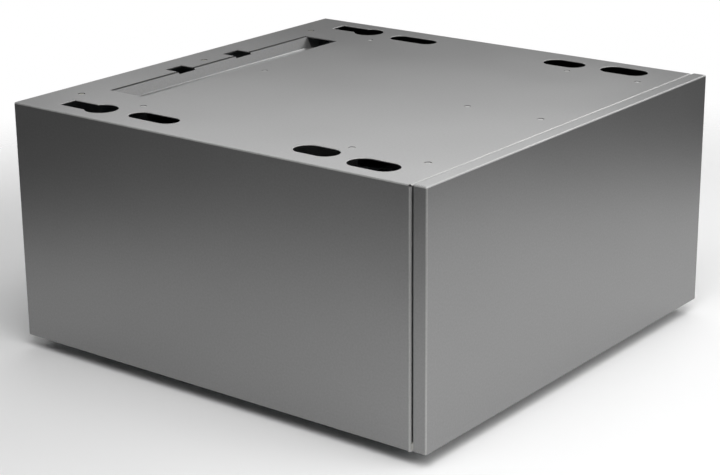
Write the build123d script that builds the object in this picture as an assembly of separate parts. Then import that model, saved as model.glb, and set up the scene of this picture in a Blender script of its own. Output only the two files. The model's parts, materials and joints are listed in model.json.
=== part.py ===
from build123d import *
import os

# Laundry pedestal with a full-width drawer. Millimetres. +Z up, front towards -Y.
# The origin is the middle of the footprint, on the floor.

# Driving sizes
width = 595.0
depth = 600.0
foot_gap = 15.0            # clear height under the cabinet
cabinet_height = 295.0
panel_lift = 1.0           # the drawer front stands this much higher than the cabinet
panel_depth = 16.5
panel_gap = 3.5            # shadow gap between cabinet and drawer front
sheet = 1.2                # cabinet and panel steel
box_sheet = 1.0            # drawer box steel
rail_sheet = 1.6           # base rail steel
edge_bend = 2.0            # outside radius of the top and side folds
front_bend = 3.0           # outside radius of the fold at the cabinet's front edges
front_return = 22.0        # width of the fold beside the drawer opening
drawer_travel = 420.0
running_gap = 0.05         # radial play of a turning or sliding fit

# Planes worked out from the driving sizes
side_x = width / 2
inner_x = side_x - sheet
back_y = depth / 2
panel_front_y = -depth / 2
panel_back_y = panel_front_y + panel_depth
cabinet_front_y = panel_back_y + panel_gap
cabinet_bottom_z = foot_gap
cabinet_top_z = foot_gap + cabinet_height
under_top_z = cabinet_top_z - sheet
panel_bottom_z = cabinet_bottom_z + panel_lift
panel_top_z = cabinet_top_z + panel_lift
opening_x = side_x - front_return

# Machine seats in the top: |x| centre, y centre, width, length
seat_slots = [(253.5, 115.5, 28.0, 70.5), (252.5, -122.5, 32.5, 57.0), (260.0, -205.0, 34.0, 63.5)]
keyhole_tail_x = (247.5, 273.0)
keyhole_tail_y = (211.0, 249.0)
keyhole_eye = (258.5, 194.5)
keyhole_eye_radius = 20.0
seat_rounding = 0.5        # rounding of the seats' upper edges

# Pressed recess along the back of the top
recess_half_x = 188.0
recess_front_y = 195.0
recess_back_y = 250.2
recess_depth = 13.5
recess_ramp = 32.0        # run of the sloping front face
recess_back_slope = 7.0    # run of the steep back face
recess_bend = 1.5
recess_lap = 4.0           # the sheet reaches this far in front of the recess
recess_end_gap = 0.5
recess_slit = 2.6          # open slit between the back face and the rear strip
notch_x = (40.0, 69.0)
notch_back_y = 269.0
notch_drop = 3.0

# Cross rails under the top and the clinch points that hold them
clinch_x = (-220.5, 0.0, 220.5)
rail_y = {"rear_top_rail": 163.4, "middle_top_rail": -145.8, "front_top_rail": -246.6}
# 1 turns a rail's lower flange to the front, -1 to the back
rail_turn = {"rear_top_rail": 1, "middle_top_rail": 1, "front_top_rail": -1}
clinch_radius = 4.0
clinch_depth = 0.6
clinch_dome = 7.0          # radius of the domed middle of each clinch point
clinch_dome_drop = 0.05
top_rail_half_x = 232.0
top_rail_flange = 28.0
top_rail_drop = 13.0
top_screw_y = 265.5
top_screw_hole = 4.4
hem = 15.0                 # the sides fold in this far under the cabinet
lip_drop = 18.0            # height of the fold along the top's front edge

# Base, feet and back
base_plate_z = cabinet_bottom_z + sheet
base_inner_x = 205.0
base_outer_x = 290.0
foot_x = 237.5
foot_y = 240.0
foot_pad_radius = 20.0
foot_pad_height = 6.5
stud_radius = 4.0
stud_top_z = 34.0
nut_across_flats = 13.0
nut_height = 5.0
back_panel_y = back_y - 3.0
back_flange_y = 258.0
post_width = 20.0
back_screw_x = side_x - 12.0
back_screw_z = (50.0, 165.0, 280.0)
post_bottom_z = 34.0
back_panel_play = 1.0      # side clearance of the back panel
bead_z = (110.0, 220.0)
bead_half_length = 200.0
bead_radius = 2.0
bead_height = 0.6

# Drawer box and slides
box_half_x = 262.0
box_bottom_z = 40.0
box_top_z = 265.0
box_back_y = 200.0
box_front_y = panel_back_y + box_sheet
box_lip = 11.0
slide_z = 130.0
slide_length = 500.0
slide_front_y = -277.0
slide_outer_x = 274.8
slide_screw_y = (-245.0, -80.0, 190.0)
bracket_height = 60.0
bracket_y = (-270.0, 250.0)

# Push latches
latch_x = 150.0
latch_width = 20.0
latch_z = (19.5, 34.5)
plunger_radius = 4.5
plunger_back_y = -250.0
latch_back_y = -238.0
strike_thickness = 1.5
strike_gap = 0.3


def block(x_span, y_span, z_span):
    """Rectangular solid between the given limits."""
    size = [abs(high - low) for low, high in (x_span, y_span, z_span)]
    centre = [(high + low) / 2 for low, high in (x_span, y_span, z_span)]
    return Pos(*centre) * Box(*size)


def rod_z(x, y, radius, z_low, z_high):
    """Upright cylinder."""
    return Pos(x, y, (z_low + z_high) / 2) * Cylinder(radius, z_high - z_low)


def rod_y(x, z, radius, y_low, y_high):
    """Cylinder along Y."""
    return Pos(x, (y_low + y_high) / 2, z) * Rot(90, 0, 0) * Cylinder(radius, y_high - y_low)


def rod_x(y, z, radius, x_low, x_high):
    """Cylinder along X."""
    return Pos((x_low + x_high) / 2, y, z) * Rot(0, 90, 0) * Cylinder(radius, abs(x_high - x_low))


def folded_face(points, thickness, radius, side=Side.RIGHT):
    """Section of a folded sheet: the points are its outer line."""
    line = FilletPolyline(*points, radius=radius)
    return make_face(Wire(line.edges()).offset_2d(thickness, side=side, closed=True).edges())


def along_x(face, x_low, x_high):
    """Solid from a (y, z) section."""
    return extrude(Plane.YZ.offset(x_low) * face, x_high - x_low)


def along_y(face, y_low, y_high):
    """Solid from an (x, z) section."""
    return extrude(Plane.XZ.offset(-y_high) * face, y_high - y_low)


def along_z(face, z_low, z_high):
    """Solid from an (x, y) section."""
    return extrude(Plane.XY.offset(z_low) * face, z_high - z_low)


def both_sides(part):
    """The part and its mirror image across the middle of the pedestal."""
    return part + mirror(part, about=Plane.YZ)


def left_of(part):
    """The mirror image of a right-hand part."""
    return mirror(part, about=Plane.YZ)


def hex_ring(x, y, hole_radius, z_low, z_high):
    """Hexagon nut round an upright stud."""
    outline = RegularPolygon(nut_across_flats / 2, 6, major_radius=False)
    nut = along_z(Pos(x, y) * outline, z_low, z_high)
    return nut - rod_z(x, y, hole_radius, z_low - 1, z_high + 1)


def seat_cutters():
    """Cutters for the right-hand seats of the machine's feet: three slots and a keyhole."""
    reach = (under_top_z - 1, cabinet_top_z + 1)
    cutters = []
    for x, y, slot_width, slot_length in seat_slots:
        cutters.append(along_z(Pos(x, y) * Rot(0, 0, 90) * SlotOverall(slot_length, slot_width), *reach))
    tail = block(keyhole_tail_x, (keyhole_eye[1], keyhole_tail_y[1]), reach)
    cutters.append(tail + rod_z(*keyhole_eye, keyhole_eye_radius, *reach))
    return cutters


def round_seat_edges(shell):
    """Round the upper edges of every seat."""
    margin = 8.0
    longest = 100.0
    widest = 60.0
    reach = (seat_slots[0][0] - seat_slots[0][2] / 2 - margin, side_x - margin)
    rims = shell.edges().filter_by(lambda edge: abs(edge.center().Z - cabinet_top_z) < 0.01)
    rims = rims.filter_by(lambda edge: reach[0] < abs(edge.center().X) < reach[1])
    rims = rims.filter_by(lambda edge: edge.length < longest and edge.bounding_box().size.X < widest)
    return fillet(rims, seat_rounding)


def clinch_point(x, y):
    """Cutter and domed middle of one clinch point in the top."""
    pit = rod_z(x, y, clinch_radius, cabinet_top_z - clinch_depth, cabinet_top_z + 1)
    ball = Pos(x, y, cabinet_top_z - clinch_dome_drop - clinch_dome) * Sphere(clinch_dome)
    dome = ball & rod_z(x, y, clinch_radius, cabinet_top_z - clinch_depth - 0.1, cabinet_top_z)
    return pit, dome


def recess_sheet():
    """Trough pressed into the top: a ramp, a narrow floor and a steep back face."""
    floor_z = cabinet_top_z - recess_depth
    face_y = recess_back_y - recess_slit - sheet
    points = [
        (recess_front_y - recess_lap, cabinet_top_z),
        (recess_front_y, cabinet_top_z),
        (recess_front_y + recess_ramp, floor_z),
        (face_y - recess_back_slope, floor_z),
        (face_y, cabinet_top_z - 0.5),
    ]
    half_x = recess_half_x - recess_end_gap
    return along_x(folded_face(points, sheet, recess_bend), -half_x, half_x)


def wrapper():
    """Top and both sides, folded from one sheet."""
    section = folded_face(
        [
            (hem - side_x, cabinet_bottom_z),
            (-side_x, cabinet_bottom_z),
            (-side_x, cabinet_top_z),
            (side_x, cabinet_top_z),
            (side_x, cabinet_bottom_z),
            (side_x - hem, cabinet_bottom_z),
        ],
        sheet,
        edge_bend,
    )
    shell = along_y(section, cabinet_front_y + front_bend, back_y)
    corner = folded_face(
        [
            (side_x, cabinet_front_y + front_bend + 0.5),
            (side_x, cabinet_front_y),
            (opening_x, cabinet_front_y),
        ],
        sheet,
        front_bend,
    )
    shell += both_sides(along_z(corner, cabinet_bottom_z, cabinet_top_z - edge_bend))
    lip = folded_face(
        [
            (cabinet_front_y + front_bend + 0.5, cabinet_top_z),
            (cabinet_front_y, cabinet_top_z),
            (cabinet_front_y, cabinet_top_z - lip_drop),
        ],
        sheet,
        edge_bend,
        side=Side.LEFT,
    )
    shell += along_x(lip, edge_bend - side_x, side_x - edge_bend)
    through_top = (under_top_z - 1, cabinet_top_z + 1)
    shell -= block((-recess_half_x, recess_half_x), (recess_front_y, recess_back_y), through_top)
    shell += recess_sheet()
    notch_y = (recess_back_y - recess_slit - 2 * sheet, notch_back_y)
    shell -= both_sides(block(notch_x, notch_y, (cabinet_top_z - notch_drop, cabinet_top_z + 1)))
    for cutter in seat_cutters():
        shell -= both_sides(cutter)
    shell = round_seat_edges(shell)
    for x in clinch_x:
        shell -= rod_z(x, top_screw_y, top_screw_hole, *through_top)
        for y in rail_y.values():
            pit, dome = clinch_point(x, y)
            shell -= pit
            shell += dome
    return shell


def top_rail(turn):
    """Z-section rail under the top, with its clinch line at y = 0."""
    web_y = -16.0
    points = [
        (web_y + top_rail_flange, under_top_z),
        (web_y, under_top_z),
        (web_y, under_top_z - top_rail_drop),
        (web_y - top_rail_flange + sheet, under_top_z - top_rail_drop),
    ]
    rail = along_x(folded_face(points, sheet, edge_bend, side=Side.LEFT), -top_rail_half_x, top_rail_half_x)
    return rail if turn > 0 else mirror(rail, about=Plane.XZ)


def base_rail():
    """Right-hand base channel, with holes for the feet's studs."""
    lip = 12.0
    plate_top = base_plate_z + rail_sheet
    section = folded_face(
        [
            (base_inner_x, plate_top + lip),
            (base_inner_x, base_plate_z),
            (base_outer_x, base_plate_z),
            (base_outer_x, plate_top + lip),
        ],
        rail_sheet,
        2.5,
        side=Side.LEFT,
    )
    rail = along_y(section, cabinet_front_y + 3, back_panel_y - sheet - 1)
    for y in (-foot_y, foot_y):
        rail -= rod_z(foot_x, y, stud_radius + running_gap, base_plate_z - 1, plate_top + 1)
    return rail


def cross_base_rail(y_web, towards, height):
    """Angle across the base: an upright web with a foot that lies on the base rails' floor."""
    low = base_plate_z + rail_sheet
    flange = 22.0
    half_x = base_outer_x - rail_sheet - 1.3
    web = block((-half_x, half_x), sorted((y_web, y_web + towards * sheet)), (low, low + height))
    foot = block((-half_x, half_x), sorted((y_web, y_web + towards * flange)), (low, low + sheet))
    rail = web + foot
    clearance = (low - 1, low + 14)
    lip_x = (base_inner_x - 0.3, base_inner_x + rail_sheet + 1.3)
    rail -= both_sides(block(lip_x, (y_web - 40, y_web + 40), clearance))
    return rail


def front_base_rail():
    """Front angle, with holes for the latch plungers."""
    rail = cross_base_rail(cabinet_front_y + 3, 1, 19.0)
    for x in (-latch_x, latch_x):
        hole = rod_y(x, sum(latch_z) / 2, plunger_radius + 0.5, cabinet_front_y, cabinet_front_y + 10)
        rail -= hole
    return rail


def rear_base_rail():
    """Rear angle inside the back panel."""
    return cross_base_rail(back_panel_y - sheet - post_width - 2, -1, 19.0)


def rear_post():
    """Right-hand corner angle that the back panel screws to."""
    outer_x = inner_x - 0.1
    outer_y = back_panel_y - sheet
    points = [
        (outer_x, outer_y - post_width),
        (outer_x, outer_y),
        (outer_x - post_width, outer_y),
    ]
    section = folded_face(points, sheet, edge_bend, side=Side.LEFT)
    post = along_z(section, post_bottom_z, under_top_z - 3)
    for z in back_screw_z:
        post -= rod_y(back_screw_x, z, 2.0, outer_y - 5, outer_y + 1)
    return post


def back_panel():
    """Rear closing sheet with a flange under the top."""
    points = [
        (back_flange_y, under_top_z - 0.1),
        (back_panel_y, under_top_z - 0.1),
        (back_panel_y, base_plate_z + 0.2),
    ]
    half_x = inner_x - back_panel_play
    panel = along_x(folded_face(points, sheet, edge_bend), -half_x, half_x)
    low, high = under_top_z - 4, under_top_z + 1
    around = 4.0
    gap_x = (notch_x[0] - around, notch_x[1] + around)
    panel -= both_sides(block(gap_x, (back_flange_y - 1, notch_back_y + 2), (low, high)))
    for x in clinch_x:
        panel -= rod_z(x, top_screw_y, 2.0, low, high)
    for x in (-back_screw_x, back_screw_x):
        for z in back_screw_z:
            panel -= rod_y(x, z, 2.2, back_panel_y - 3, back_panel_y + 1)
    bead_y = back_panel_y + bead_radius - bead_height
    bead = rod_x(bead_y, 0, bead_radius, -bead_half_length, bead_half_length)
    for z in bead_z:
        panel -= Pos(0, 0, z) * bead
    return panel


def domed_screw(head_radius, head_height, shank_radius, shank_length):
    """Screw with its head upwards from z = 0, and a cross slot."""
    head = Cylinder(head_radius, head_height, align=(Align.CENTER, Align.CENTER, Align.MIN))
    head = fillet(head.edges().group_by(Axis.Z)[-1], head_height * 0.6)
    for angle in (0, 90):
        slot = Pos(0, 0, head_height) * Rot(0, 0, angle) * Box(head_radius, 0.9, head_height)
        head -= slot
    shank = Pos(0, 0, -shank_length / 2) * Cylinder(shank_radius, shank_length)
    return head + shank


def top_screws():
    """Three screws in the back panel's flange, set down in holes through the top's rear edge."""
    screw = domed_screw(3.3, 0.8, 2.0, 5.0)
    return [Pos(x, top_screw_y, under_top_z - 0.1) * screw for x in clinch_x]


def back_panel_screws():
    """Screws through the back panel into the corner posts."""
    screw = domed_screw(4.5, 2.4, 2.0, 4.0)
    placed = []
    for x in (-back_screw_x, back_screw_x):
        for z in back_screw_z:
            placed.append(Pos(x, back_panel_y, z) * Rot(-90, 0, 0) * screw)
    return placed


def slide_bracket():
    """Right-hand channel that carries the slide clear of the front fold."""
    half = bracket_height / 2
    points = [
        (inner_x - 0.1, slide_z + half),
        (slide_outer_x, slide_z + half),
        (slide_outer_x, slide_z - half),
        (inner_x - 0.1, slide_z - half),
    ]
    bracket = along_y(folded_face(points, sheet, edge_bend, side=Side.LEFT), *bracket_y)
    for y in slide_screw_y:
        bracket -= rod_x(y, slide_z, 2.0, slide_outer_x - 1, slide_outer_x + 3)
    return bracket


def slide_member(web_x, open_x, half_height, thickness):
    """C-section member of a telescopic slide, its flanges running from web_x to open_x."""
    side = Side.LEFT if web_x > open_x else Side.RIGHT
    points = [
        (open_x, slide_z - half_height),
        (web_x, slide_z - half_height),
        (web_x, slide_z + half_height),
        (open_x, slide_z + half_height),
    ]
    face = folded_face(points, thickness, 1.8, side=side)
    return along_y(face, slide_front_y, slide_front_y + slide_length)


def cabinet_slide():
    """Right-hand outer member, fixed to the bracket."""
    member = slide_member(slide_outer_x, 263.5, 22.5, sheet)
    for y in slide_screw_y:
        member -= rod_x(y, slide_z, 2.0, slide_outer_x - 3, slide_outer_x + 1)
    return member


def middle_slide():
    """Right-hand middle member, which travels half as far as the drawer."""
    member = slide_member(272.2, 263.8, 19.5, 1.0)
    window = 14.0
    for y in slide_screw_y:
        member -= rod_x(y, slide_z, window / 2, 268.0, 274.0)
    return member


def drawer_slide():
    """Right-hand inner member, fixed to the drawer's side."""
    member = slide_member(box_half_x, 270.0, 15.5, sheet)
    for y in slide_screw_y:
        member -= rod_x(y, slide_z, 2.0, box_half_x - 1, box_half_x + 3)
    return member


def slide_screws():
    """Screws that hold the outer members to their brackets."""
    screw = domed_screw(3.6, 0.8, 2.0, 5.0)
    placed = []
    for y in slide_screw_y:
        right = Pos(slide_outer_x - sheet, y, slide_z) * Rot(0, -90, 0) * screw
        placed += [right, left_of(right)]
    return placed


def drawer_slide_screws():
    """Screws that hold the inner members to the drawer's sides."""
    screw = domed_screw(3.6, 1.8, 2.0, 4.0)
    placed = []
    for y in slide_screw_y:
        right = Pos(box_half_x + sheet, y, slide_z) * Rot(0, 90, 0) * screw
        placed += [right, left_of(right)]
    return placed


def front_panel():
    """Drawer front: a shallow pan folded from one sheet, open at its back."""
    outer = block((-side_x, side_x), (panel_front_y, panel_back_y), (panel_bottom_z, panel_top_z))
    outer = fillet(outer.edges().filter_by(Axis.Y), edge_bend)
    outer = fillet(outer.faces().sort_by(Axis.Y)[0].edges(), edge_bend * 0.9)
    inner = block(
        (sheet - side_x, side_x - sheet),
        (panel_front_y + sheet, panel_back_y + 1),
        (panel_bottom_z + sheet, panel_top_z - sheet),
    )
    inner = fillet(inner.edges().filter_by(Axis.Y), edge_bend - sheet)
    pan = outer - inner
    seam = 0.3
    seam_x = (side_x - edge_bend - 0.6 - seam, side_x - edge_bend - 0.6)
    seam_y = (panel_front_y + 3, panel_back_y + 1)
    top_seam = block(seam_x, seam_y, (panel_top_z - sheet / 2, panel_top_z + 1))
    low_seam = Pos(0, 0, panel_bottom_z - panel_top_z) * top_seam
    return pan - both_sides(top_seam) - both_sides(low_seam)


def panel_backing():
    """Stiffening sheet that closes the back of the drawer front."""
    gap = 0.2
    low, high = panel_bottom_z + sheet + gap, panel_top_z - sheet - gap
    half_x = side_x - sheet - gap
    plate = block((-half_x, half_x), (panel_back_y - sheet, panel_back_y), (low, high))
    plate = fillet(plate.edges().filter_by(Axis.Y), edge_bend - sheet)
    for x, z in panel_screw_places():
        plate -= rod_y(x, z, 2.0, panel_back_y - 3, panel_back_y + 1)
    return plate


def panel_core():
    """Light core that fills the drawer front between its face and the stiffening sheet."""
    gap = 0.3
    low, high = panel_bottom_z + sheet + gap, panel_top_z - sheet - gap
    half_x = side_x - sheet - gap
    core = block((-half_x, half_x), (panel_front_y + sheet + gap, panel_back_y - sheet - gap), (low, high))
    core = fillet(core.edges().filter_by(Axis.Y), edge_bend - sheet)
    for x, z in panel_screw_places():
        core -= rod_y(x, z, 2.2, panel_back_y - 4, panel_back_y)
    return core


def panel_screw_places():
    """(x, z) of the screws that join the drawer front to the drawer box."""
    return [(x, z) for x in (-230.0, 0.0, 230.0) for z in (70.0, 235.0)]


def box_front():
    """Front wall of the drawer box, with a rearward lip along its top."""
    lip = box_lip - 1
    outer_y = box_front_y - box_sheet
    points = [(outer_y, box_bottom_z), (outer_y, box_top_z), (box_front_y + lip, box_top_z)]
    lip_x = box_half_x - box_lip - 0.2
    wall = along_x(folded_face(points, box_sheet, 2.0), -lip_x, lip_x)
    low = (box_bottom_z, box_top_z - 2)
    wall += block((-box_half_x, box_half_x), (box_front_y - box_sheet, box_front_y), low)
    for x, z in panel_screw_places():
        wall -= rod_y(x, z, 2.0, box_front_y - 3, box_front_y + 1)
    return wall


def box_side():
    """Right-hand wall of the drawer box, folded in at its top and bottom."""
    points = [
        (box_half_x - 15, box_bottom_z),
        (box_half_x, box_bottom_z),
        (box_half_x, box_top_z),
        (box_half_x - box_lip, box_top_z),
    ]
    side = along_y(folded_face(points, box_sheet, 2.0, side=Side.LEFT), box_front_y, box_back_y)
    for y in slide_screw_y:
        side -= rod_x(y, slide_z, 2.0, box_half_x - 3, box_half_x + 1)
    return side


def box_floor():
    """Floor of the drawer, lying on the side walls' lower folds, with shallow ribs."""
    half_x = box_half_x - 2.2
    low = box_bottom_z + box_sheet
    floor = block((-half_x, half_x), (box_front_y, box_back_y), (low, low + box_sheet))
    rib_width = 8.0
    for x in (-150.0, -50.0, 50.0, 150.0):
        rib_x = (x - rib_width / 2, x + rib_width / 2)
        floor += block(rib_x, (-220.0, 150.0), (low + box_sheet, low + box_sheet + 0.8))
    return floor


def box_back():
    """Rear wall of the drawer, with a forward lip along its top."""
    half_x = box_half_x - box_sheet - 0.1
    rise = (box_bottom_z + 2 * box_sheet, box_top_z - box_sheet - 1)
    wall = block((-half_x, half_x), (box_back_y - box_sheet, box_back_y), rise)
    points = [(box_back_y, rise[0]), (box_back_y, box_top_z), (box_back_y - box_lip, box_top_z)]
    lip_x = box_half_x - box_lip - 0.2
    return wall + along_x(folded_face(points, box_sheet, 2.0, side=Side.LEFT), -lip_x, lip_x)


def panel_screws():
    """Screws through the box front into the panel's stiffening sheet."""
    screw = domed_screw(4.5, 2.4, 2.0, 4.0)
    return [Pos(x, box_front_y, z) * Rot(-90, 0, 0) * screw for x, z in panel_screw_places()]


def strike_plates():
    """Steel plates on the drawer front that the latches hold."""
    plate = block((-10, 10), (panel_back_y, panel_back_y + strike_thickness), latch_z)
    plate = fillet(plate.edges().filter_by(Axis.Y), 2.0)
    return [Pos(x, 0, 0) * plate for x in (-latch_x, latch_x)]


def latch_housing():
    """Right-hand push latch body, with a bore for its plunger."""
    front_y = cabinet_front_y + 3 + sheet
    half = latch_width / 2
    body = block((latch_x - half, latch_x + half), (front_y, latch_back_y), latch_z)
    body = fillet(body.edges().filter_by(Axis.Y), 2.0)
    mid_z = sum(latch_z) / 2
    return body - rod_y(latch_x, mid_z, plunger_radius + running_gap, front_y - 1, plunger_back_y + 6)


def latch_plunger():
    """Right-hand latch plunger with a rounded tip."""
    tip_y = panel_back_y + strike_thickness + strike_gap
    plunger = rod_y(latch_x, sum(latch_z) / 2, plunger_radius, tip_y, plunger_back_y)
    return fillet(plunger.edges().group_by(Axis.Y)[0], 1.2)


def panel_buffers():
    """Soft buffers on the cabinet's front folds, which the closed drawer front meets."""
    thickness = panel_gap - 0.3
    span = (cabinet_front_y - thickness, cabinet_front_y)
    low = block((side_x - 12, side_x - 1.2), span, (cabinet_bottom_z + 2, cabinet_bottom_z + 10))
    high = block((opening_x + 1, opening_x + 11), span, (cabinet_top_z - 40, cabinet_top_z - 30))
    pieces = [fillet(piece.edges().filter_by(Axis.Y), 1.5) for piece in (low, high)]
    return pieces + [left_of(piece) for piece in pieces]


def foot_stud(x, y):
    """Threaded stud of a levelling foot, with its hexagon collar."""
    collar_top = foot_pad_height + 4.0
    stud = rod_z(x, y, stud_radius, foot_pad_height - 2.0, stud_top_z)
    stud = chamfer(stud.edges().group_by(Axis.Z)[-1], 0.8)
    outline = RegularPolygon(nut_across_flats / 2, 6, major_radius=False)
    return stud + along_z(Pos(x, y) * outline, foot_pad_height, collar_top)


def foot_pad(x, y):
    """Round plastic pad of a levelling foot."""
    pad = rod_z(x, y, foot_pad_radius, 0.0, foot_pad_height)
    pad = chamfer(pad.edges().group_by(Axis.Z)[-1], 2.5)
    pad = fillet(pad.edges().group_by(Axis.Z)[0], 1.0)
    return pad - rod_z(x, y, stud_radius, foot_pad_height - 2.0, foot_pad_height + 1)


def foot_places():
    """Name and (x, y) of each foot."""
    return {
        "front_left": (-foot_x, -foot_y),
        "front_right": (foot_x, -foot_y),
        "rear_left": (-foot_x, foot_y),
        "rear_right": (foot_x, foot_y),
    }


def stud_nuts(z_low):
    """Four nuts on the feet's studs."""
    hole = stud_radius + running_gap
    return [hex_ring(x, y, hole, z_low, z_low + nut_height) for x, y in foot_places().values()]


def save(name, shape):
    """Write one node; a list of shapes is written as one group of separate solids."""
    if isinstance(shape, list):
        shape = Compound([solid for piece in shape for solid in piece.solids()])
    shape.label = name
    export_step(shape, f"parts/{name}.step")


os.makedirs("parts", exist_ok=True)

save("wrapper", wrapper())
save("back_panel", back_panel())
for name, y in rail_y.items():
    save(name, Pos(0, y, 0) * top_rail(rail_turn[name]))
save("front_base_rail", front_base_rail())
save("rear_base_rail", rear_base_rail())

paired = {
    "base_rail": base_rail(),
    "rear_post": rear_post(),
    "slide_bracket": slide_bracket(),
    "cabinet_slide": cabinet_slide(),
    "middle_slide": middle_slide(),
    "drawer_slide": drawer_slide(),
    "drawer_side": box_side(),
    "latch_housing": latch_housing(),
    "latch_plunger": latch_plunger(),
}
for name, part in paired.items():
    save(f"right_{name}", part)
    save(f"left_{name}", left_of(part))

save("front_panel", front_panel())
save("panel_backing", panel_backing())
save("panel_core", panel_core())
save("drawer_front_wall", box_front())
save("drawer_back_wall", box_back())
save("drawer_floor", box_floor())

for name, (x, y) in foot_places().items():
    save(f"{name}_foot_stud", foot_stud(x, y))
    save(f"{name}_foot_pad", foot_pad(x, y))

save("weld_nuts", stud_nuts(base_plate_z + rail_sheet))
save("lock_nuts", stud_nuts(base_plate_z - nut_height))
save("top_screws", top_screws())
save("back_panel_screws", back_panel_screws())
save("slide_screws", slide_screws())
save("drawer_slide_screws", drawer_slide_screws())
save("panel_screws", panel_screws())
save("strike_plates", strike_plates())
save("panel_buffers", panel_buffers())
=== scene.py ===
import json
import math

import bmesh
import bpy
from mathutils import Matrix, Vector


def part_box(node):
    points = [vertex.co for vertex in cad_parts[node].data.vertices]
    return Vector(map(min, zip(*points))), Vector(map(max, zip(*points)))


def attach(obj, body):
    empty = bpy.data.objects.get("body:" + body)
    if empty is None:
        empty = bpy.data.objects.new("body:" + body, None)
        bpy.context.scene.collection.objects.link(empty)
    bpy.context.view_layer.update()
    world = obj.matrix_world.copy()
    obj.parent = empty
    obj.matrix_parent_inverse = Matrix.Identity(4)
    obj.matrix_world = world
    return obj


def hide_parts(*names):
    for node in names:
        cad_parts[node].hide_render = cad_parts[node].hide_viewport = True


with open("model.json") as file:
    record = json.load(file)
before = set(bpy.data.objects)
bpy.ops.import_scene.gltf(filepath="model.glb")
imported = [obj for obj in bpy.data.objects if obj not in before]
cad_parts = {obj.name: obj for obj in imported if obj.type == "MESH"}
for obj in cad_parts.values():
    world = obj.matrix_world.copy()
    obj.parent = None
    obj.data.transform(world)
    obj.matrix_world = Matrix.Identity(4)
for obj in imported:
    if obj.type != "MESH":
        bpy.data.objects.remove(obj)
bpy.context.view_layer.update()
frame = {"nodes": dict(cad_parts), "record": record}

mm = 0.001


def toLinear(hexColour):
    # sRGB hex to the linear RGBA that shaders take
    channels = [int(hexColour[i:i + 2], 16) / 255 for i in (1, 3, 5)]
    linear = [c / 12.92 if c <= 0.04045 else ((c + 0.055) / 1.055) ** 2.4 for c in channels]
    return (*linear, 1.0)


def addNode(material, kind, settings=None, links=None):
    # settings name an input or a property of the node; links are {input: (node, output)}
    node = material.node_tree.nodes.new(kind)
    for name, value in (settings or {}).items():
        if isinstance(name, int) or name in node.inputs:
            node.inputs[name].default_value = value
        else:
            setattr(node, name, value)
    for name, (source, output) in (links or {}).items():
        material.node_tree.links.new(source.outputs[output], node.inputs[name])
    return node


def startMaterial(name, metallic, roughness):
    material = bpy.data.materials.new(name)
    material.use_nodes = True
    shader = material.node_tree.nodes["Principled BSDF"]
    shader.inputs["Metallic"].default_value = metallic
    shader.inputs["Roughness"].default_value = roughness
    return material, shader


def linkTo(material, source, output, target, socket):
    material.node_tree.links.new(source.outputs[output], target.inputs[socket])


def colourRamp(material, source, output, stops):
    # stops are (position, hex colour)
    ramp = addNode(material, "ShaderNodeValToRGB", links={"Fac": (source, output)})
    elements = ramp.color_ramp.elements
    while len(elements) < len(stops):
        elements.new(0.5)
    for element, (position, hexColour) in zip(elements, stops):
        element.position = position
        element.color = toLinear(hexColour)
    return ramp


def noiseOn(material, source, output, size, detail):
    # noise whose humps are about this many mm across
    return addNode(
        material,
        "ShaderNodeTexNoise",
        {"Scale": 1 / (size * mm), "Detail": detail},
        {"Vector": (source, output)},
    )


def bumpOn(material, source, relief, under=None):
    # relief is (strength, depth in mm), laid over another relief where there is one
    strength, depth = relief
    links = {"Height": (source, "Fac")}
    if under:
        links["Normal"] = (under, "Normal")
    return addNode(material, "ShaderNodeBump", {"Strength": strength, "Distance": depth * mm}, links)


def glossOn(material, source, output, low, high):
    # roughness that wanders between two values
    return addNode(
        material, "ShaderNodeMapRange", {"To Min": low, "To Max": high}, {"Value": (source, output)}
    )


camera = {
    "place": (-1.7888, -1.3621, 0.8643),    # metres
    "azimuth": 52.43,       # degrees from +Y towards +X
    "elevation": -18.31,
    "roll": -0.47,
    "lens": 95.33,
}


def makeCamera():
    data = bpy.data.cameras.new("camera")
    data.lens = camera["lens"]
    data.sensor_width = 36.0
    data.clip_start = 0.05
    body = bpy.data.objects.new("camera", data)
    bpy.context.collection.objects.link(body)
    turn = Matrix.Rotation(math.radians(-camera["azimuth"]), 4, "Z")
    tilt = Matrix.Rotation(math.radians(90 + camera["elevation"]), 4, "X")
    roll = Matrix.Rotation(math.radians(camera["roll"]), 4, "Z")
    body.matrix_world = Matrix.Translation(camera["place"]) @ turn @ tilt @ roll
    bpy.context.scene.camera = body


satinGrey = {
    "light": "#8f8f8f",
    "dark": "#898989",
    "metallic": 0.75,
    "roughness": 0.30,
    "cloud": 0.03,          # how far the roughness wanders either way
    "flake": 2.5,           # mm across the faint mottle of the pigment
    "peel": 1.8,            # mm between the humps of the coat
    "peelRelief": (0.25, 0.03),     # strength, and depth in mm
    "wave": 140.0,          # mm between the slack spots of the sheet
    "waveRelief": (0.35, 1.2),
}


def makeSatinGrey():
    # Powder coated steel, baked: a satin metallic grey with a faint orange peel
    material, shader = startMaterial("satinGreyPowderCoat", satinGrey["metallic"], satinGrey["roughness"])
    place = addNode(material, "ShaderNodeTexCoord")
    flake = noiseOn(material, place, "Object", satinGrey["flake"], 3.0)
    colour = colourRamp(material, flake, "Fac", [(0.3, satinGrey["dark"]), (0.7, satinGrey["light"])])
    linkTo(material, colour, "Color", shader, "Base Color")
    wave = noiseOn(material, place, "Object", satinGrey["wave"], 1.0)
    peel = noiseOn(material, place, "Object", satinGrey["peel"], 2.0)
    slack = bumpOn(material, wave, satinGrey["waveRelief"])
    skin = bumpOn(material, peel, satinGrey["peelRelief"], slack)
    linkTo(material, skin, "Normal", shader, "Normal")
    middle, spread = satinGrey["roughness"], satinGrey["cloud"]
    gloss = glossOn(material, wave, "Fac", middle - spread, middle + spread)
    linkTo(material, gloss, "Result", shader, "Roughness")
    return material


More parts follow.
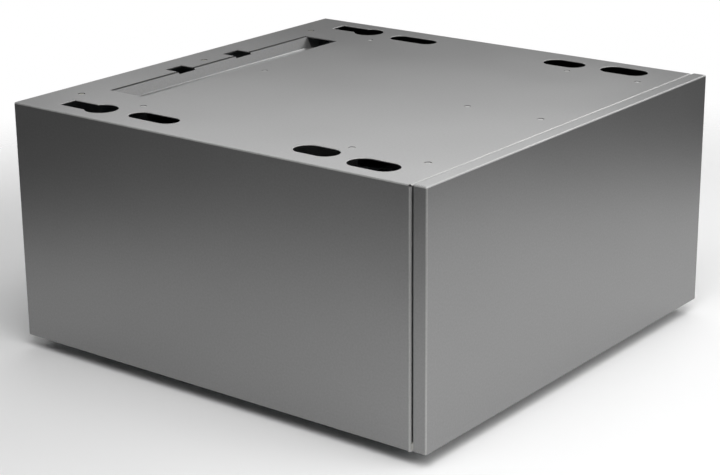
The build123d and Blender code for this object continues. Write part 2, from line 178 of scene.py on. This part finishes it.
galvanised = {
    "light": "#a3a7a9",
    "dark": "#94999c",
    "spangle": 9.0,         # mm across a zinc crystal
    "warp": 6.0,            # mm between the wobbles of the crystals' edges
    "warpShare": 0.004,
    "gloss": (0.30, 0.48),  # roughness from the shiniest crystal to the dullest
    "roughness": 0.38,
}


def makeGalvanised():
    # Hot-dip galvanised sheet: soft grey spangle, each crystal a little lighter or darker
    material, shader = startMaterial("galvanisedSheet", 0.9, galvanised["roughness"])
    place = addNode(material, "ShaderNodeTexCoord")
    warp = noiseOn(material, place, "Object", galvanised["warp"], 2.0)
    mix = addNode(
        material,
        "ShaderNodeMixRGB",
        {"Fac": galvanised["warpShare"]},
        {"Color1": (place, "Object"), "Color2": (warp, "Color")},
    )
    crystalScale = 1 / (galvanised["spangle"] * mm)
    cells = addNode(material, "ShaderNodeTexVoronoi", {"Scale": crystalScale}, {"Vector": (mix, "Color")})
    grey = addNode(material, "ShaderNodeSeparateColor", links={"Color": (cells, "Color")})
    colour = colourRamp(material, grey, "Red", [(0.0, galvanised["dark"]), (1.0, galvanised["light"])])
    linkTo(material, colour, "Color", shader, "Base Color")
    gloss = glossOn(material, grey, "Green", *galvanised["gloss"])
    linkTo(material, gloss, "Result", shader, "Roughness")
    return material


brightZinc = {
    "light": "#c3c6ca",
    "dark": "#b2b6bb",
    "streak": 0.7,          # mm between the rolling lines
    "stretch": 0.02,        # along the slide the lines are fifty times longer
    "gloss": (0.20, 0.34),
    "roughness": 0.24,
}


def makeBrightZinc():
    # Cold rolled steel, bright zinc plated: cool and shiny, with faint rolling lines along the slide
    material, shader = startMaterial("brightZincPlate", 1.0, brightZinc["roughness"])
    place = addNode(material, "ShaderNodeTexCoord")
    along = (1.0, brightZinc["stretch"], 1.0)
    stretch = addNode(material, "ShaderNodeMapping", {"Scale": along}, {"Vector": (place, "Object")})
    lines = noiseOn(material, stretch, "Vector", brightZinc["streak"], 2.0)
    colour = colourRamp(material, lines, "Fac", [(0.3, brightZinc["dark"]), (0.7, brightZinc["light"])])
    linkTo(material, colour, "Color", shader, "Base Color")
    gloss = glossOn(material, lines, "Fac", *brightZinc["gloss"])
    linkTo(material, gloss, "Result", shader, "Roughness")
    return material


boxCoat = {
    "light": "#b4b6b7",
    "dark": "#acaeb0",
    "roughness": 0.48,
    "peel": 1.6,            # mm between the humps of the coat
    "peelRelief": (0.3, 0.05),
}


def makeBoxCoat():
    # Powder coated drawer steel, light grey, with a close orange peel
    material, shader = startMaterial("lightGreyPowderCoat", 0.0, boxCoat["roughness"])
    place = addNode(material, "ShaderNodeTexCoord")
    peel = noiseOn(material, place, "Object", boxCoat["peel"], 2.0)
    colour = colourRamp(material, peel, "Fac", [(0.3, boxCoat["dark"]), (0.7, boxCoat["light"])])
    linkTo(material, colour, "Color", shader, "Base Color")
    skin = bumpOn(material, peel, boxCoat["peelRelief"])
    linkTo(material, skin, "Normal", shader, "Normal")
    return material


passivated = {
    "light": "#c9c8c1",
    "dark": "#a9a79c",
    "roughness": 0.3,
    "cloud": 1.5,           # mm across a cloudy patch
}


def makeScrewZinc():
    # Zinc plated and passivated steel: slightly warm and cloudy
    material, shader = startMaterial("passivatedZinc", 1.0, passivated["roughness"])
    place = addNode(material, "ShaderNodeTexCoord")
    cloud = noiseOn(material, place, "Object", passivated["cloud"], 2.0)
    colour = colourRamp(material, cloud, "Fac", [(0.3, passivated["dark"]), (0.7, passivated["light"])])
    linkTo(material, colour, "Color", shader, "Base Color")
    return material


mouldedRelief = (0.4, 0.06)


def makeMoulded(name, light, dark, roughness, grain):
    # Injection moulded plastic or rubber with a fine spark-eroded grain
    material, shader = startMaterial(name, 0.0, roughness)
    place = addNode(material, "ShaderNodeTexCoord")
    spark = noiseOn(material, place, "Object", grain, 2.0)
    colour = colourRamp(material, spark, "Fac", [(0.3, dark), (0.7, light)])
    linkTo(material, colour, "Color", shader, "Base Color")
    skin = bumpOn(material, spark, mouldedRelief)
    linkTo(material, skin, "Normal", shader, "Normal")
    return material


pressedBoard = {
    "light": "#a98f6b",
    "dark": "#8c7454",
    "roughness": 0.9,
    "fibre": 2.0,           # mm across a fibre bundle
}


def makeFibreBoard():
    # Pressed fibre board, raw: pale brown, matt, with short fibres lying every way
    material, shader = startMaterial("pressedFibreBoard", 0.0, pressedBoard["roughness"])
    place = addNode(material, "ShaderNodeTexCoord")
    fibre = noiseOn(material, place, "Object", pressedBoard["fibre"], 5.0)
    colour = colourRamp(material, fibre, "Fac", [(0.3, pressedBoard["dark"]), (0.7, pressedBoard["light"])])
    linkTo(material, colour, "Color", shader, "Base Color")
    return material


# Painted shade for the inside of the wrapper: a near black coat so the openings in the top read dark
insideShade = {
    "light": "#1b1c1d",
    "dark": "#141516",
    "roughness": 0.62,
    "run": 40.0,            # mm between the slightly lighter patches of the painted shade
}


def makeInsideShade():
    # Painted shade on the inside of the sheet metal: near black, dull and even, so the openings read dark
    material, shader = startMaterial("paintedShadeOnInside", 0.0, insideShade["roughness"])
    place = addNode(material, "ShaderNodeTexCoord")
    run = noiseOn(material, place, "Object", insideShade["run"], 3.0)
    colour = colourRamp(material, run, "Fac", [(0.3, insideShade["dark"]), (0.7, insideShade["light"])])
    linkTo(material, colour, "Color", shader, "Base Color")
    return material


def dress(material, name):
    # put one finish on a CAD node
    node = frame["nodes"][name]
    node.data.materials.clear()
    node.data.materials.append(material)


# Soft boxes in metres and watts. The corner box gives the top its fall of light, the two back ones the
# lift behind the slots, edge and recessFill the fine lines along folds and recess, front the drawer's face
lights = {
    "corner": {"place": (-0.7, -0.8, 1.7), "aim": (-0.4, -0.4, 0), "size": (2.0, 1.6), "power": 37.9},
    "backWall": {"place": (1.03, 0.79, 1.10), "aim": (0, 0, 0.6), "size": (2.2, 0.8), "power": 5.5},
    "backNear": {"place": (0.75, 0.60, 0.95), "aim": (-0.3, -0.3, 0.3), "size": (1.0, 0.5), "power": 1.7},
    "edge": {"place": (1.5, -0.15, 1.45), "aim": (0, -0.1, 0.3), "size": (0.9, 0.5), "power": 5.5},
    "recessFill": {"place": (1.5, -0.95, 1.15), "aim": (0, 0, 0.3), "size": (0.8, 0.5), "power": 1.1},
    "front": {"place": (1.0, -2.6, 1.4), "aim": (0, -0.2, 0.2), "size": (1.8, 1.4), "power": 27.2},
}
worldStrength = 0.06
backdropColour = "#ffffff"
table = {
    "centre": (0.05, -0.05),    # metres
    "radius": 1.35,
    "colour": "#f2f2f2",
    "solidTo": 0.70,        # past this radius the floor melts into the white paper
    "goneAt": 1.30,
}


def makeStudio():
    for name, light in lights.items():
        data = bpy.data.lights.new(name, "AREA")
        data.shape = "RECTANGLE"
        data.size, data.size_y = light["size"]
        data.energy = light["power"]
        body = bpy.data.objects.new(name, data)
        body.location = light["place"]
        aim = Vector(light["aim"]) - Vector(light["place"])
        body.rotation_euler = aim.to_track_quat("-Z", "Y").to_euler()
        body.visible_camera = False
        bpy.context.collection.objects.link(body)
    world = bpy.data.worlds.new("studio")
    world.use_nodes = True
    nodes, links = world.node_tree.nodes, world.node_tree.links
    room = nodes["Background"]
    room.inputs["Color"].default_value = (1, 1, 1, 1)
    room.inputs["Strength"].default_value = worldStrength
    paper = nodes.new("ShaderNodeBackground")       # the white paper behind everything
    paper.inputs["Color"].default_value = toLinear(backdropColour)
    ray = nodes.new("ShaderNodeLightPath")
    mix = nodes.new("ShaderNodeMixShader")
    links.new(ray.outputs["Is Camera Ray"], mix.inputs["Fac"])
    links.new(room.outputs["Background"], mix.inputs[1])
    links.new(paper.outputs["Background"], mix.inputs[2])
    links.new(mix.outputs["Shader"], nodes["World Output"].inputs["Surface"])
    bpy.context.scene.world = world
    bpy.context.scene.view_settings.view_transform = "Standard"


def makeFloor():
    shape = bmesh.new()
    bmesh.ops.create_circle(shape, cap_ends=True, segments=128, radius=table["radius"])
    bmesh.ops.translate(shape, vec=(*table["centre"], 0.0), verts=shape.verts)
    mesh = bpy.data.meshes.new("floor")
    shape.to_mesh(mesh)
    shape.free()
    floor = bpy.data.objects.new("floor", mesh)
    bpy.context.collection.objects.link(floor)
    material, shader = startMaterial("paleFloor", 0.0, 0.7)
    shader.inputs["Base Color"].default_value = toLinear(table["colour"])
    place = addNode(material, "ShaderNodeTexCoord")
    centre = (*table["centre"], 0.0)
    out = addNode(
        material, "ShaderNodeVectorMath", {"operation": "DISTANCE", 1: centre}, {0: (place, "Object")}
    )
    fade = addNode(
        material,
        "ShaderNodeMapRange",
        {
            "interpolation_type": "SMOOTHSTEP",
            "From Min": table["solidTo"],
            "From Max": table["goneAt"],
            "To Min": 1.0,
            "To Max": 0.0,
        },
        {"Value": (out, "Value")},
    )
    linkTo(material, fade, "Result", shader, "Alpha")
    mesh.materials.append(material)


makeCamera()
makeStudio()
makeFloor()
print("studio ready")

satin = makeSatinGrey()
galvanisedSheet = makeGalvanised()
zincPlate = makeBrightZinc()
drawerCoat = makeBoxCoat()
screwZinc = makeScrewZinc()
blackPlastic = makeMoulded("blackPolyamide", light="#1c1c1d", dark="#121213", roughness=0.55, grain=0.8)
greyAcetal = makeMoulded("greyAcetal", light="#7d7e80", dark="#747577", roughness=0.35, grain=1.0)
fibreBoard = makeFibreBoard()
softRubber = makeMoulded("lightGreyRubber", light="#b9b9b4", dark="#adada8", roughness=0.7, grain=0.6)

finishes = {
    "satin_grey_steel": satin,
    "zinc_coated_steel": galvanisedSheet,
    "bright_zinc_steel": zincPlate,
    "drawer_coated_steel": drawerCoat,
    "zinc_fasteners": screwZinc,
    "black_plastic": blackPlastic,
    "grey_plastic": greyAcetal,
    "buffer_rubber": softRubber,
    "board_core": fibreBoard,
}
for part in frame["record"]["subparts"]:
    dress(finishes[part["material_slot"]], part["node"])

shell = {
    "halfWidth": 296.4,     # mm, inner faces of the wrapper
    "front": -278.7,
    "low": 16.1,
    "high": 308.9,
    "recess": (188.0, 190.0, 251.0),    # half width, front and back of the pressed recess
    "recessBackFace": 235.0,            # its steep back face lies behind this
    "upward": 0.2,                      # the recess sheet's outer side leans up at least this much
    "forward": -0.6,                    # or faces the front at least this much
}


def paintInsideShade(material):
    # the wrapper's inner faces take the painted shade; the recess keeps the outer coat
    mesh = frame["nodes"]["wrapper"].data
    mesh.materials.append(material)
    halfX, frontY, backY = shell["recess"]
    count = 0
    for face in mesh.polygons:
        x, y, z = (value / mm for value in face.center)
        outerSide = face.normal.z > shell["upward"] or face.normal.y < shell["forward"]
        inside = abs(x) < shell["halfWidth"] and y > shell["front"] and shell["low"] < z < shell["high"]
        recess = abs(x) < halfX and frontY < y < backY and outerSide
        if inside and not recess:
            face.material_index = 1
            count += 1
    # counts the wrapper faces that take the painted shade
    print("primer on", count, "faces inside the wrapper")


paintInsideShade(makeInsideShade())

# Painted highlight for folds and rims: a paler copy of the satin coat in place of the light these edges
# catch
edgeHighlight = {
    "light": "#adadac",
    "dark": "#a4a4a3",
    "metallic": 0.35,
    "roughness": 0.34,
    "flake": 2.5,           # mm, as on the flat coat
    "above": 308.2,         # mm, height past which a sloping face is a fold or a rim
    "slope": (0.15, 0.995), # upward lean of those faces, from steep to nearly flat
    "frontFold": -276.9,    # mm, the upright folds beside the drawer front lie before this
    "outside": 290.0,       # mm from the middle, and further out than this
    "lean": 0.2,            # an upright fold faces the front and a side at least this much
}


def makeEdgeHighlight():
    # Painted highlight: a paler, less metallic copy of the powder coat on folds and rims, so edges read as
    # fine light lines
    metallic, roughness = edgeHighlight["metallic"], edgeHighlight["roughness"]
    material, shader = startMaterial("paintedEdgeHighlight", metallic, roughness)
    place = addNode(material, "ShaderNodeTexCoord")
    flake = noiseOn(material, place, "Object", edgeHighlight["flake"], 3.0)
    colour = colourRamp(material, flake, "Fac", [(0.3, edgeHighlight["dark"]), (0.7, edgeHighlight["light"])])
    linkTo(material, colour, "Color", shader, "Base Color")
    return material


def paintEdgeHighlight(name, material):
    # painted highlight on the folds along the top, rims of the openings, clinch domes and the upright front
    # folds
    mesh = frame["nodes"][name].data
    mesh.materials.append(material)
    slotIndex = len(mesh.materials) - 1
    steep, flat = edgeHighlight["slope"]
    lean = edgeHighlight["lean"]
    halfX, _, backY = shell["recess"]
    backFace = shell["recessBackFace"]
    count = 0
    for face in mesh.polygons:
        x, y, z = (value / mm for value in face.center)
        normal = face.normal
        topFold = z > edgeHighlight["above"] and steep < normal.z < flat
        atFront = y < edgeHighlight["frontFold"] and abs(x) > edgeHighlight["outside"]
        uprightFold = atFront and normal.y < -lean and lean < abs(normal.x)
        recessBack = abs(x) < halfX and backFace < y < backY
        if face.material_index == 0 and not recessBack and (topFold or uprightFold):
            face.material_index = slotIndex
            count += 1
    # counts the faces that take the painted highlight
    print("thin coat on", count, "faces of", name)


edgeHighlightCoat = makeEdgeHighlight()
paintEdgeHighlight("wrapper", edgeHighlightCoat)
paintEdgeHighlight("front_panel", edgeHighlightCoat)


def spunShape(profile, steps):
    # closed turned shape from (radius, height) points in mm that start and end on the axis
    shape = bmesh.new()
    corners = [shape.verts.new((radius * mm, 0, height * mm)) for radius, height in profile]
    edges = [shape.edges.new(pair) for pair in zip(corners, corners[1:])]
    bmesh.ops.spin(
        shape,
        geom=corners + edges,
        cent=(0, 0, 0),
        axis=(0, 0, 1),
        angle=math.tau,
        steps=steps,
        use_merge=True,
    )
    bmesh.ops.remove_doubles(shape, verts=shape.verts, dist=0.002 * mm)
    bmesh.ops.recalc_face_normals(shape, faces=shape.faces)
    return shape


def addBlock(shape, size, centre):
    # box with these sides, centred on a point, all in mm
    block = bmesh.ops.create_cube(shape, size=1.0)
    bmesh.ops.scale(shape, vec=[side * mm for side in size], verts=block["verts"])
    bmesh.ops.translate(shape, vec=[value * mm for value in centre], verts=block["verts"])
    return block["verts"]


def breakEdges(shape, verts, size, steps):
    # small bevel on every edge of one solid
    rims = dict.fromkeys(edge for vert in verts for edge in vert.link_edges)
    bmesh.ops.bevel(
        shape,
        geom=list(rims),
        offset=size * mm,
        offset_type="OFFSET",
        segments=steps,
        profile=0.5,
        affect="EDGES",
        material=-1,
    )


def finishPiece(name, shape, material, body, smoothAngle=35):
    mesh = bpy.data.meshes.new(name)
    shape.to_mesh(mesh)
    shape.free()
    piece = bpy.data.objects.new(name, mesh)
    bpy.context.collection.objects.link(piece)
    mesh.materials.append(material)
    mesh.shade_smooth()
    mesh.set_sharp_from_angle(angle=math.radians(smoothAngle))
    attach(piece, body)
    return piece


foot = {
    "studRadius": 4.0,
    "neckRadius": 3.6,      # plain run-out between the hexagon and the thread
    "threadDepth": 0.65,
    "pitch": 1.25,
    "crest": (0.4, 0.55),   # shares of the pitch where the crest starts and ends
    "rootFrom": 0.95,
    "studLow": 4.5,
    "threadLow": 11.5,
    "studTop": 34.0,
    "tip": 0.6,             # plain tip above the last ring
    "hexAcross": 13.0,
    "hexLow": 6.5,
    "hexHigh": 10.5,
    "hexBreak": 0.4,
    "padRadius": 20.0,
    "padHeight": 6.5,
    "soleHollow": 0.8,      # the sole stands on its outer ring only
    "ribs": 24,
    "ribSize": (6.0, 1.2, 0.9),
    "ribInset": 5.5,        # from the pad's edge to the middle of a rib
    "ribHeight": 4.6,
    "segments": 48,
}


def threadedStud(x, y):
    # rolled thread drawn as close rings, with a plain neck below
    radius, neck, pitch = foot["studRadius"], foot["neckRadius"], foot["pitch"]
    root = radius - foot["threadDepth"]
    crestStart, crestEnd = foot["crest"]
    profile = [(0, foot["studLow"]), (neck, foot["studLow"]), (neck, foot["threadLow"])]
    height = foot["threadLow"]
    while height + pitch < foot["studTop"] - foot["tip"]:
        profile += [(radius, height + pitch * crestStart), (radius, height + pitch * crestEnd)]
        profile += [(root, height + pitch * foot["rootFrom"]), (root, height + pitch)]
        height += pitch
    profile += [(root, foot["studTop"]), (0, foot["studTop"])]
    shape = spunShape(profile, foot["segments"])
    low, high = foot["hexLow"], foot["hexHigh"]
    cornerRadius = foot["hexAcross"] / math.sqrt(3) * mm
    hexagon = bmesh.ops.create_cone(
        shape,
        cap_ends=True,
        segments=6,
        radius1=cornerRadius,
        radius2=cornerRadius,
        depth=(high - low) * mm,
    )
    bmesh.ops.translate(shape, vec=(0, 0, (low + high) / 2 * mm), verts=hexagon["verts"])
    breakEdges(shape, hexagon["verts"], foot["hexBreak"], 2)
    bmesh.ops.translate(shape, vec=(x * mm, y * mm, 0), verts=shape.verts)
    return shape


def ribbedPad(x, y):
    # moulded pad: a rolled rim, a sloping skirt with finger ribs and a socket round the stud
    edge, top = foot["padRadius"], foot["padHeight"]
    stud, sole = foot["studRadius"], foot["soleHollow"]
    profile = [
        (0, sole),
        (edge - 5, sole),
        (edge - 4, 0),      # the ring that stands on the floor
        (edge - 1.0, 0),
        (edge - 0.3, 0.4),  # rolled rim
        (edge, 1.1),
        (edge, 2.8),
        (edge - 0.4, 3.5),
        (edge - 1.2, 3.9),
        (edge - 6, 5.0),    # sloping skirt
        (10.5, 5.4),
        (9.6, 6.0),         # raised socket
        (8.8, top),
        (stud + 0.4, top),
        (stud, top - 0.4),
        (stud, foot["studLow"]),
        (0, foot["studLow"]),
    ]
    shape = spunShape(profile, foot["segments"])
    for step in range(foot["ribs"]):
        rib = addBlock(shape, foot["ribSize"], (edge - foot["ribInset"], 0, foot["ribHeight"]))
        turn = Matrix.Rotation(math.tau * step / foot["ribs"], 3, "Z")
        bmesh.ops.rotate(shape, cent=(0, 0, 0), matrix=turn, verts=rib)
    bmesh.ops.translate(shape, vec=(x * mm, y * mm, 0), verts=shape.verts)
    return shape


def makeFoot(corner):
    low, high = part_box(corner + "_foot_pad")
    x, y = (low[0] + high[0]) / 2 / mm, (low[1] + high[1]) / 2 / mm
    body = corner + "_foot"
    stud = finishPiece(corner + "ThreadedStud", threadedStud(x, y), screwZinc, body)
    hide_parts(corner + "_foot_stud")
    pad = finishPiece(corner + "RibbedPad", ribbedPad(x, y), blackPlastic, body)
    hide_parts(corner + "_foot_pad")


for corner in ("front_left", "front_right", "rear_left", "rear_right"):
    makeFoot(corner)
print("levelling feet ready")

slideBalls = {
    "x": 266.9,             # mm from the middle of the pedestal
    "height": 130.0,        # middle of the slides
    "innerRow": (17.0, 1.45),       # offset from the slide's middle, ball radius
    "outerRow": (20.4, 0.85),
    "front": -160.0,
    "spacing": 9.0,
    "count": 30,
    "strip": (2.6, 0.5),    # width and thickness of the cage strip
    "stripBreak": 0.15,
}


def ballCage(side):
    # steel balls above and below the inner member, with a pressed strip along each inner row
    shape = bmesh.new()
    x = side * slideBalls["x"]
    length = slideBalls["spacing"] * slideBalls["count"]
    for offset, radius in (slideBalls["innerRow"], slideBalls["outerRow"]):
        for updown in (-1, 1):
            z = slideBalls["height"] + updown * offset
            for step in range(slideBalls["count"]):
                y = slideBalls["front"] + (step + 0.5) * slideBalls["spacing"]
                ball = bmesh.ops.create_icosphere(shape, subdivisions=2, radius=radius * mm)
                bmesh.ops.translate(shape, vec=(x * mm, y * mm, z * mm), verts=ball["verts"])
    width, thick = slideBalls["strip"]
    middle = slideBalls["front"] + length / 2
    for updown in (-1, 1):
        z = slideBalls["height"] + updown * slideBalls["innerRow"][0]
        strip = addBlock(shape, (width, length, thick), (x, middle, z))
        breakEdges(shape, strip, slideBalls["stripBreak"], 1)
    return shape


for name, side in (("left", -1), ("right", 1)):
    cage = ballCage(side)
    finishPiece(name + "BallCage", cage, zincPlate, name + "_slide_middle", 60)
print("slide balls ready")
